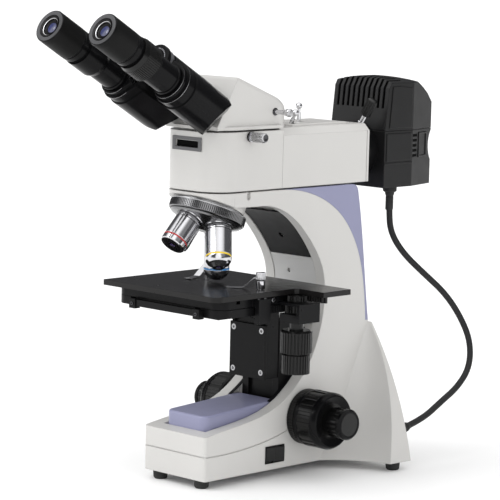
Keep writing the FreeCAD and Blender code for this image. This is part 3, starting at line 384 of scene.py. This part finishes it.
def slab(name, outline, depth, look, body, slot, hole=None, edge=0.25):
    """Flat piece: an outline of points, thickened along depth, with rounded edges and maybe a hole of
    as many points."""
    bm = bmesh.new()
    outer = [bm.verts.new(at(*p)) for p in outline]
    if hole:
        inner = [bm.verts.new(at(*p)) for p in hole]
        count = len(outer)
        faces = [bm.faces.new((outer[i], outer[(i + 1) % count], inner[(i + 1) % count], inner[i]))
                 for i in range(count)]
    else:
        faces = [bm.faces.new(outer)]
    grown = bmesh.ops.extrude_face_region(bm, geom=faces)
    moved = [v for v in grown["geom"] if isinstance(v, bmesh.types.BMVert)]
    bmesh.ops.translate(bm, verts=moved, vec=Vector(depth) * MM)
    bmesh.ops.recalc_face_normals(bm, faces=bm.faces)
    sharp = [e for e in bm.edges if e.calc_face_angle(0) > math.radians(30)]
    bmesh.ops.bevel(bm, geom=sharp, offset=edge * MM, segments=2, affect="EDGES", profile=0.6)
    mesh = bpy.data.meshes.new(name)
    mesh.materials.append(look)
    bm.to_mesh(mesh)
    bm.free()
    return new_piece(name, mesh, body)


def rectangle(a, b, fixed, axis):
    """Corners of an axis-aligned rectangle; a and b are its corners in the two other directions."""
    corners = [(a[0], a[1]), (b[0], a[1]), (b[0], b[1]), (a[0], b[1])]
    return [tuple(list(c[:axis]) + [fixed] + list(c[axis:])) for c in corners]


# --- camera and lead ------------------------------------------------------------------------------
def make_camera():
    flat = Vector((-math.sin(CAMERA_TURN), math.cos(CAMERA_TURN), 0))
    right = Vector((math.cos(CAMERA_TURN), math.sin(CAMERA_TURN), 0))
    forward = flat * math.cos(CAMERA_PITCH) - Z * math.sin(CAMERA_PITCH)
    up = Z * math.cos(CAMERA_PITCH) + flat * math.sin(CAMERA_PITCH)
    side = right * math.cos(CAMERA_ROLL) + up * math.sin(CAMERA_ROLL)
    top = up * math.cos(CAMERA_ROLL) - right * math.sin(CAMERA_ROLL)
    data = bpy.data.cameras.new("camera")
    data.lens, data.sensor_width = CAMERA_LENS, 36.0
    data.clip_start, data.clip_end = 0.1, 200.0
    camera = bpy.data.objects.new("camera", data)
    bpy.context.scene.collection.objects.link(camera)
    turn = Matrix((side, top, -forward)).transposed().to_4x4()
    camera.matrix_world = Matrix.Translation(at(*CAMERA_PLACE)) @ turn
    bpy.context.scene.camera = camera


def strain_relief(name, start, direction, length, grooves, looks):
    """Rubber sleeve, with shallow grooves, where the lead leaves its gland or socket."""
    radius = CORD_RADIUS + 0.8
    rings = strip("foot", (CORD_RADIUS, 0), (radius + 0.8, 0), (radius + 0.7, 1.6))
    for groove in grooves:
        rings += strip("foot", (radius, groove), (radius - 0.3, groove + 0.3), (radius, groove + 0.8))
    rings += strip("foot", (radius, length - 1.0), (radius - 0.4, length), (CORD_RADIUS, length))
    return lathe(name, rings, start, direction, looks, "stand", 48)


def make_lead(looks):
    curve = bpy.data.curves.new("lamp_lead_cable", "CURVE")
    curve.dimensions = "3D"
    curve.bevel_depth = CORD_RADIUS * MM
    curve.bevel_resolution = 8
    curve.use_fill_caps = True
    spline = curve.splines.new("NURBS")
    spline.points.add(len(CORD_ROUTE) - 1)
    for point, place in zip(spline.points, CORD_ROUTE):
        point.co = (*at(*place), 1.0)
    spline.order_u = 3
    spline.use_endpoint_u = True
    spline.resolution_u = 16
    curve.materials.append(looks["cable"])
    lead = new_piece("lamp_lead_cable", curve, "stand")
    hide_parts("lamp_lead")
    top, bottom = Vector(CORD_ROUTE[0]), Vector(CORD_ROUTE[-1])
    last_turn = (Vector(CORD_ROUTE[-2]) - bottom).normalized()
    upper = strain_relief("lead_boot_upper", top, -Z, 18.0, (3.6, 8.1), looks)
    lower = strain_relief("lead_boot_lower", bottom, last_turn, 5.0, (), looks)


# --- optics ---------------------------------------------------------------------------------------
def make_objective(node, turn, band, band_at, tip, length, looks):
    """Objective barrel: a grooved mounting ring whose groove is coloured dark as painted shade, a polished
    body, a coloured band and a front lens.
    tip is the end's profile as (radius, distance below the shoulder); a wide tip gets a dark face."""
    r = 12.3
    dark_face = 9.4
    rings = (strip("dark_steel", (0, -4.6), (9.9, -4.6))
             + strip("chrome", (9.9, -0.4), (r - 0.3, -0.4), (r, 0.1))
             # The groove's floor is dark steel: painted shade in the groove.
             + strip("dark_steel", (r, 3.0), (r - 0.3, 3.2))
             + strip("chrome", (r - 0.3, 3.7))
             + strip("barrel", (r - 0.02, 3.9))
             + strip("chrome", (r - 0.02, band_at - 1.3), (r - 0.25, band_at - 1.0))
             + strip(band, (r - 0.04, band_at - 0.8))
             + strip("chrome", (r - 0.04, band_at + 0.8)))
    rings += strip("chrome", *tip)
    if tip[-1][0] > dark_face:
        rings += strip("dark_steel", (dark_face, length))
    rings += (strip("dark_steel", (3.0, length))
              + strip("lens_violet", (2.9, length - 1.0), (1.6, length - 0.7), (0, length - 0.6)))
    axis = objective_axis(turn)
    shoulder = TURRET_APEX + axis * SHOULDER
    piece = lathe(node + "_barrel", rings, shoulder, axis, looks, "turret", 288)
    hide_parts(node)


def make_objectives(looks):
    r = 12.25
    make_objective("objective_low", 180, "band_red", 25.2,
                   [(r, 26.6), (r - 0.2, 30.2), (r - 0.9, 31)], 31, looks)
    make_objective("objective_medium", 90, "band_yellow", 29.4,
                   [(r, 31), (r - 0.4, 33.4), (10.2, 36), (8.2, 36.8), (6.2, 39.2), (5.2, 40)], 40, looks)
    make_objective("objective_high", 270, "band_green", 16.4,
                   [(r, 20), (r - 0.6, 23), (9.0, 25), (6.6, 27)], 27, looks)
    make_objective("objective_working", 0, "band_blue", 33.4,
                   [(r, 35.4), (r - 0.6, 37.5), (10.2, 40), (6.4, 43), (4.6, 44)], 44, looks)


def make_turret_rings(looks):
    axis = turret_axis()
    knurl = (120, 0.45)
    rings = (strip("black", (35.0, 33.4), (36.4, 33.6))
             + strip("black", (36.6, 34.0), (36.6, 40.0), form=knurl)
             + strip("black", (36.3, 40.4), (34.6, 42.2), (34.0, 42.2)))
    lathe("nosepiece_grip", rings, TURRET_APEX, axis, looks, "turret", 480)
    trim = strip("chrome", (34.6, 32.1), (36.3, 32.2), (36.7, 32.8), (36.3, 33.4), (34.6, 33.5))
    lathe("nosepiece_trim", trim, TURRET_APEX, axis, looks, "turret", 160)
    for index, turn in enumerate((0, 90, 180, 270)):
        direction = objective_axis(turn)
        # Chrome collar with a dark steel underside: painted shade under the collar.
        collar = (strip("chrome", (12.4, -2.4), (13.3, -2.3), (13.5, -1.8))
                  + strip("dark_steel", (13.3, -0.9), (12.4, -0.7)))
        shoulder = TURRET_APEX + direction * SHOULDER
        lathe("objective_collar_%d" % (index + 1), collar, shoulder, direction, looks, "turret")


def make_eyepiece(side, looks):
    """Eyepiece with a soft grip, a grey face ring and a coated eye lens."""
    r = 16.0
    rings = (strip("black", (0, 112), (11.5, 112), (11.5, 133.3))
             + strip("gloss", (r - 1.2, 133.3), (r - 0.2, 134.0), (r - 0.1, 138.6), (r - 0.8, 139.0),
                     (r - 0.8, 139.8), (r - 0.1, 140.2))
             + strip("soft", (r, 141.0), (r, EYE_TOP - 6.6))
             + strip("gloss", (r, EYE_TOP - 1.2), (r - 0.4, EYE_TOP - 0.3))
             + strip("speckle", (r - 1.1, EYE_TOP - 0.05))
             + strip("gloss", (11.4, EYE_TOP - 0.05), (10.8, EYE_TOP - 0.4), (9.2, EYE_TOP - 0.6))
             + strip("satin_chrome", (8.9, EYE_TOP - 1.4))
             + strip("gloss", (8.2, EYE_TOP - 1.6), (7.6, EYE_TOP - 3.0))
             + strip("lens_blue", (4.9, EYE_TOP - 3.6), (3.6, EYE_TOP - 3.3), (1.8, EYE_TOP - 3.1),
                     (0, EYE_TOP - 3.0)))
    name = "right" if side > 0 else "left"
    start = head_point(side * EYE_HALF, EYE_DROP, 0)
    piece = lathe("eyepiece_%s_barrel" % name, rings, start, eyepiece_direction(), looks,
                  name + "_eye_half", 256)
    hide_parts("eyepiece_" + name)


def make_tube_trim(side, looks):
    """Bright rims round the flange of each eyetube."""
    name = "right" if side > 0 else "left"
    body = name + "_eye_half"
    start, out = head_point(side * EYE_HALF, EYE_DROP, 0), eyepiece_direction()
    for index, (radius, place) in enumerate(((17.3, 77.2), (19.4, 71.6))):
        rim = (strip("gloss", (radius - 1.6, place - 0.4), (radius, place - 0.4))
               + strip("satin_chrome", (radius + 0.15, place - 0.15))
               + strip("gloss", (radius + 0.15, place + 0.15), (radius, place + 0.4),
                       (radius - 1.6, place + 0.5)))
        lathe("tube_rim_%s_%d" % (name, index + 1), rim, start, out, looks, body, 128)
    collar = strip("gloss", (13.9, 79.0), (15.0, 79.2), (15.2, 80.0), (14.9, 81.4), (13.9, 81.6))
    lathe("tube_collar_" + name, collar, start, out, looks, body, 128)


def make_hinge_dial(looks):
    """Eye-spacing dial: a turned alloy drum with a black, evenly divided rim and no figures."""
    rings = (strip("steel", (0, -12), (6.95, -12), (6.95, 0.8), (12.9, 0.8), (12.9, 2.8), (6.95, 2.8))
             + strip("alloy", (6.95, 62.5), (14.6, 62.5), (15.1, 63.0), (15.1, 68.2))
             + strip("gloss", (15.8, 68.6), (16.1, 69.2), (16.1, 72.6), (15.5, 73.3), (12.6, 73.35))
             + strip("panel_grey", (12.5, 73.35), form=(36, 1.1))
             + strip("gloss", (11.3, 73.35), (10.2, 72.8))
             + strip("satin_chrome", (4.2, 72.8), (3.8, 73.3), (0, 73.35)))
    dial = lathe("eye_spacing_dial", rings, HINGE, eyepiece_direction(), looks, "head", 144)
    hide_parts("hinge_pivot")


# --- controls -------------------------------------------------------------------------------------
def make_screw(name, place, direction, radius, looks, body, look="steel"):
    """Socket screw with a hexagonal recess, whose inside is coloured dark as painted shade."""
    rings = (strip(look, (radius * 0.7, -0.5), (radius * 0.95, -0.3), (radius, 0.2), (radius, 0.8),
                   (radius * 0.88, 1.05))
             # The socket's inside is dark steel: painted shade in the recess.
             + strip("dark_steel", (radius * 0.55, 1.05), (radius * 0.5, 0.1), form="hex")
             + strip("dark_steel", (0, 0.05)))
    return lathe(name, rings, place, direction, looks, body, 48)


def make_coarse_knobs(looks):
    """Ribbed coarse knobs with smooth rims and a dished outer face, which the fine knobs stand in."""
    ribs = (24, 0.9)
    rings = (strip("knob", (5.2, 50), (26.6, 50))
             + strip("gloss", (27.3, 50.6), (27.4, 53.4), (26.8, 53.8))
             + strip("knob", (27.2, 54.4), (27.2, 69.6), form=ribs)
             + strip("gloss", (26.8, 70.2), (27.4, 70.6), (27.3, 74.4), (25.4, 77.6), (24.2, 78.0),
                     (22.6, 77.4))
             + strip("knob", (17.4, 75.2), (14.4, 74.4), (5.2, 74.4), (5.2, 50)))
    for name, way in (("right", X), ("left", -X)):
        knob = lathe("coarse_knob_" + name, rings, FOCUS_AXIS, way, looks, "coarse_focus", 288)
        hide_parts("coarse_knobs")


def make_fine_knobs(looks):
    ribs = (20, 0.7)
    rings = (strip("knob", (3.1, 74.8), (12.4, 74.8))
             + strip("gloss", (12.4, 79.0), (13.8, 79.4))
             + strip("knob", (14.5, 80.0), (14.5, 92.4), form=ribs)
             + strip("gloss", (13.9, 92.8), (14.8, 93.4), (14.8, 96.4), (13.2, 98.6), (11.6, 98.7))
             + strip("knob", (11.0, 98.2), (3.1, 98.2), (0, 98.3)))
    for name, way in (("right", X), ("left", -X)):
        knob = lathe("fine_knob_" + name, rings, FOCUS_AXIS, way, looks, "fine_focus", 240)
        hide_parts("fine_knobs")


def make_rocker(looks):
    """Two halves of the rocker, each dished towards the middle."""
    low, high = 16.2, 29.8
    halves = (((40.4, 31.2), (41.6, 42.2)), ((41.6, 42.8), (43.4, 53.6)))
    for index, (near, far) in enumerate(halves):
        outline = [(*near, low), (*far, low), (*far, high), (*near, high)]
        slab("rocker_face_%d" % (index + 1), outline, (-1.2, 0, 0), looks["knob"], "power_switch",
             "switch_black", edge=0.35)


def make_clip_posts(looks):
    """Chrome sleeves with knurled caps over the posts of the two spring clips."""
    rings = (strip("chrome", (2.6, 0.5), (3.9, 0.5), (4.1, 0.9))
             + strip("dark_steel", (4.1, 8.0), (3.4, 8.1))
             + strip("chrome", (3.4, 9.3))
             + strip("satin_chrome", (4.5, 9.4), (4.5, 15.0), form=(15, 0.4))
             + strip("chrome", (4.2, 15.6))
             + strip("dark_steel", (2.0, 15.8), (0, 15.5)))
    for name, post in CLIP_POSTS.items():
        lathe("clip_post_" + name, rings, (*post, STAGE_TOP), Z, looks, name + "_clip", 120)


def smooth_line(points, parts):
    """Points along a curve through the given ones, the end spans left out."""
    line = []
    for before, start, end, after in zip(points, points[1:], points[2:], points[3:]):
        for step in range(parts):
            t = step / parts
            line.append(tuple(0.5 * (2 * b + (c - a) * t + (2 * a - 5 * b + 4 * c - d) * t ** 2
                                     + (3 * b - a - 3 * c + d) * t ** 3)
                              for a, b, c, d in zip(before, start, end, after)))
    return line


def make_arm_black_sheets(looks):
    """Black sheets over the inner faces of the arm round the slide, under the stage, and over three walls of
    the slide well.
    """
    edge = smooth_line(((108.5, 165.0), (97.6, 122.3), (76.0, 90.6), (42.0, 67.5), (2.0, 57.5)), 6)
    edge = [point for point in edge if point[1] > 70]
    front = [(y - 0.5, z + 0.3) for y, z in edge]
    black_sheet = (looks["panel_dark"], "stand", "panel_dark")
    for name, x in (("right", 24.1), ("left", -27.9)):
        outline = [(x, y, z) for y, z in edge + front[::-1]]
        slab("arm_black_sheet_" + name, outline, (3.8, 0, 0), *black_sheet, edge=0.05)
    low, high, back, half = 68.0, 138.0, 98.6, 23.5
    for name, x in (("right", half + 0.1), ("left", -half - 0.4)):
        wall = rectangle((79.0, low), (back, high), x, 0)
        slab("slide_well_" + name, wall, (0.3, 0, 0), *black_sheet, edge=0.05)
    wall = rectangle((-half, low), (half, high), back + 0.1, 1)
    slab("slide_well_back", wall, (0, -0.3, 0), *black_sheet, edge=0.05)


def facet_normal(side):
    """Outward direction of the slanting rear facet of the lamp house."""
    start, end = LAMP_FACET
    along = (Vector(end) - Vector(start)).normalized()
    return Vector((along.y * side, -along.x, 0))


def facet_rectangle(side, near, far, low, high):
    """Rectangle on the rear facet; near and far are measured from its front edge."""
    start, end = LAMP_FACET
    along = (Vector(end) - Vector(start)).normalized()
    a, b = Vector(start) + along * near, Vector(start) + along * far
    corners = ((a, low), (b, low), (b, high), (a, high))
    return [(corner.x * side, corner.y, z) for corner, z in corners]


def make_lamp_house_trim(looks):
    """Raised side panels, a step line, vents drawn as near-black slabs of painted shade, and a grille frame
    of the lamp house.
    """
    wall = LAMP_FACET[0][0]
    first_vent, vent_pitch, vent_height = 297.0, 5.0, 2.6
    for name, side in (("right", 1), ("left", -1)):
        x, proud = wall * side, 0.7 * side
        trim = (looks["cast"], "stand", "lamp_charcoal")
        lid = [(x, 199.5, 326.5), (x, 233.0, 326.5), (x, 233.0, 366.0), (x, 215.0, 368.0), (x, 203.5, 367.5)]
        slab("lid_panel_" + name, lid, (proud, 0, 0), *trim, edge=0.3)
        lower = rectangle((196.0, 294.0), (233.0, 321.5), x, 0)
        slab("side_panel_" + name, lower, (proud, 0, 0), *trim, edge=0.3)
        belt = rectangle((193.6, 290.6), (234.6, 292.8), x, 0)
        slab("belt_" + name, belt, (0.6 * side, 0, 0), *trim, edge=0.2)
        grille = facet_rectangle(side, 13.0, 31.0, 296.0, 321.0)
        opening = facet_rectangle(side, 15.0, 29.0, 298.0, 319.0)
        slab("grille_frame_" + name, grille, facet_normal(side) * 0.8, *trim, hole=opening, edge=0.2)
        # Each vent is a near-black slab on the facet: painted shade for the vent's opening.
        for i in range(5):
            low = first_vent + vent_pitch * i
            slab("side_vent_%s_%d" % (name, i + 1), facet_rectangle(side, 0.8, 9.6, low, low + vent_height),
                 facet_normal(side) * 0.15, looks["painted_shade_black"], "stand", "lamp_charcoal", edge=0.04)


def make_head_clamp(looks):
    rings = (strip("steel", (0, -15), (2, -15))
             + strip("black", (2, 1.0), (4.9, 1.0))
             + strip("chrome", (4.9, 3.2), (3.2, 3.4), (3.2, 4.4), (4.5, 4.8))
             + strip("satin_chrome", (4.7, 5.2), (4.7, 18.6), form=(20, 0.5))
             + strip("satin_chrome", (4.3, 19.6))
             + strip("dark_steel", (3.4, 20.4), (1.6, 20.4), (0, 20.0)))
    piece = lathe("head_clamp_thumbscrew", rings, CLAMP_PLACE, X, looks, "head_clamp", 224)
    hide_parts("head_clamp_screw")


def make_pull_rod(looks):
    rings = (strip("chrome", (0, -24), (2.1, -24), (2.1, 11.6), (2.6, 11.8))
             + strip("dark_steel", (2.6, 13.0))
             + strip("chrome", (2.9, 13.4), (3.9, 17.8), (4.0, 18.6))
             + strip("satin_chrome", (3.7, 19.6), (2.6, 20.8), (0, 21.0)))
    piece = lathe("beam_selector_knob", rings, PULL_ROD_PLACE, X, looks, "beam_selector")
    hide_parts("head_pull_rod")
    collar = strip("dark_steel", (2.3, -1.0), (3.6, -0.4), (3.6, 0.5), (2.4, 0.7))
    lathe("beam_selector_bush", collar, PULL_ROD_PLACE, X, looks, "head", 64)


def make_lamp_clamp(looks):
    rings = (strip("chrome", (0, 20), (2.6, 20), (2.6, 30.5), (3.6, 31.0), (3.6, 33.6), (2.8, 34.0))
             + strip("knob", (2.8, 41.8), (4.8, 42.2))
             + strip("knob", (5.3, 43.0), (5.3, 58.6), form=(16, 0.55))
             + strip("knob", (4.8, 59.8), (3.6, 60.4), (0, 60.4)))
    grip = lathe("lamp_clamp_grip", rings, (0, 178, LIGHT_Z), clamp_direction(), looks, "lamp_clamp",
                 192)
    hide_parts("lamp_clamp_knob")


def make_slot_window(looks):
    """Grey frame of the filter slot in the front of the illuminator, and a near-black sheet inside it as
    painted shade of the slot.
    """
    face, inside = ILLUMINATOR_FRONT + 0.1, ILLUMINATOR_FRONT + 1.6
    frame_outline = rectangle((-19.0, 313.4), (19.0, 326.4), face, 1)
    window = rectangle((-15.0, 316.6), (15.0, 323.2), face, 1)
    slab("filter_slot_frame", frame_outline, (0, -0.7, 0), looks["frame"], "stand", "panel_grey", hole=window)
    # A near-black sheet just inside the window: painted shade of the slot.
    shade_sheet = rectangle((-14.8, 316.7), (14.8, 322.7), inside, 1)
    slab("filter_slot_shade_sheet", shade_sheet, (0, 1.0, 0), looks["painted_shade_black"], "stand", "panel_dark")


def make_switch_frame(looks):
    outline = rectangle((29.6, 14.6), (55.2, 31.4), BASE_SIDE, 0)
    opening = rectangle((30.8, 15.8), (54.0, 30.2), BASE_SIDE, 0)
    slab("switch_bezel", outline, (0.9, 0, 0), looks["gloss"], "stand", "switch_black", hole=opening)


def make_screws(looks):
    for index, (x, y) in enumerate(((76, -12.2), (76, -20.4))):
        make_screw("guide_block_screw_%d" % (index + 1), (x, y, 181.2), Z, 1.5, looks, "stage_carriage")
    make_screw("guide_bar_screw_left", (-38, -72.4, 168.8), -Y, 1.8, looks, "stage_support", "dark_steel")
    make_screw("guide_bar_screw_right", (47, -72.4, 168.8), -Y, 1.8, looks, "stage_support", "dark_steel")
    make_screw("carriage_lock_screw", (72, 2.8, 178.4), X, 2.3, looks, "stage_carriage")
    for index, (x, y) in enumerate(((-28, -30), (28, -30), (-28, 150), (28, 150))):
        make_screw("bottom_plate_screw_%d" % (index + 1), (x, y, 8.2), -Z, 2.6, looks, "stand")


# --- surroundings ---------------------------------------------------------------------------------
def make_floor():
    """A wide pale floor that fills the view."""
    bm = bmesh.new()
    bmesh.ops.create_circle(bm, cap_ends=True, segments=96, radius=60.0)
    mesh = bpy.data.meshes.new("floor")
    bm.to_mesh(mesh)
    bm.free()
    floor = bpy.data.objects.new("floor", mesh)
    bpy.context.scene.collection.objects.link(floor)
    mesh.materials.append(painted("floor_white", (0.93, 0.93, 0.93), (0.75, 0.85), 40, 0.0, 0.004))


def studio_world():
    """White surroundings, which polished pieces see as a dark studio with a ceiling light and two
    tall panels."""
    world = bpy.data.worlds.new("studio")
    world.use_nodes = True
    tree = world.node_tree
    place = tree.nodes.new("ShaderNodeTexCoord")
    split = tree.nodes.new("ShaderNodeSeparateXYZ")
    tree.links.new(place.outputs["Generated"], split.inputs["Vector"])
    around = tree.nodes.new("ShaderNodeTexGradient")
    around.gradient_type = "RADIAL"
    tree.links.new(place.outputs["Generated"], around.inputs["Vector"])
    dark, bright = (0.10, 0.10, 0.105), (1.25, 1.25, 1.25)
    panels = ramp(tree, around.outputs["Fac"], [
        (0.0, dark), (0.06, dark), (0.10, bright), (0.17, bright), (0.21, dark),
        (0.29, dark), (0.32, bright), (0.42, bright), (0.46, dark), (1.0, dark)])
    night = (0, 0, 0)
    ceiling = ramp(tree, split.outputs["Z"], [(0.0, night), (0.62, night), (0.78, bright), (1.0, bright)])
    lit = tree.nodes.new("ShaderNodeMix")
    lit.data_type, lit.blend_type = "RGBA", "LIGHTEN"
    lit.inputs["Factor"].default_value = 1.0
    tree.links.new(panels, lit.inputs["A"])
    tree.links.new(ceiling, lit.inputs["B"])
    rays = tree.nodes.new("ShaderNodeLightPath")
    seen = tree.nodes.new("ShaderNodeMix")
    seen.data_type = "RGBA"
    seen.inputs["A"].default_value = (1.0, 1.0, 1.0, 1.0)
    tree.links.new(rays.outputs["Is Glossy Ray"], seen.inputs["Factor"])
    tree.links.new(lit.outputs["Result"], seen.inputs["B"])
    background = tree.nodes["Background"]
    tree.links.new(seen.outputs["Result"], background.inputs["Color"])
    background.inputs["Strength"].default_value = 1.1
    bpy.context.scene.world = world


def make_lights():
    studio_world()
    suns = (("key", (-0.45, -1.0, 1.1), 0.98, 35), ("fill", (1.2, -0.3, 0.9), 0.16, 60))
    for name, place, strength, angle in suns:
        sun = bpy.data.lights.new(name, "SUN")
        sun.energy, sun.angle = strength, math.radians(angle)
        lamp = bpy.data.objects.new(name, sun)
        lamp.rotation_mode = "QUATERNION"
        lamp.rotation_quaternion = Vector(place).to_track_quat("Z", "Y")
        bpy.context.scene.collection.objects.link(lamp)


def main():
    bpy.context.scene.view_settings.view_transform = "Standard"
    make_camera()
    looks = {**make_enamels(), **make_blacks(), **make_metals_and_glass()}
    dress_nodes(looks)
    make_lead(looks)
    make_objectives(looks)
    make_turret_rings(looks)
    for side in (-1, 1):
        make_eyepiece(side, looks)
        make_tube_trim(side, looks)
    make_hinge_dial(looks)
    make_head_clamp(looks)
    make_pull_rod(looks)
    make_lamp_clamp(looks)
    make_slot_window(looks)
    make_switch_frame(looks)
    make_coarse_knobs(looks)
    make_fine_knobs(looks)
    make_rocker(looks)
    make_clip_posts(looks)
    make_arm_black_sheets(looks)
    make_lamp_house_trim(looks)
    make_screws(looks)
    make_floor()
    make_lights()


main()
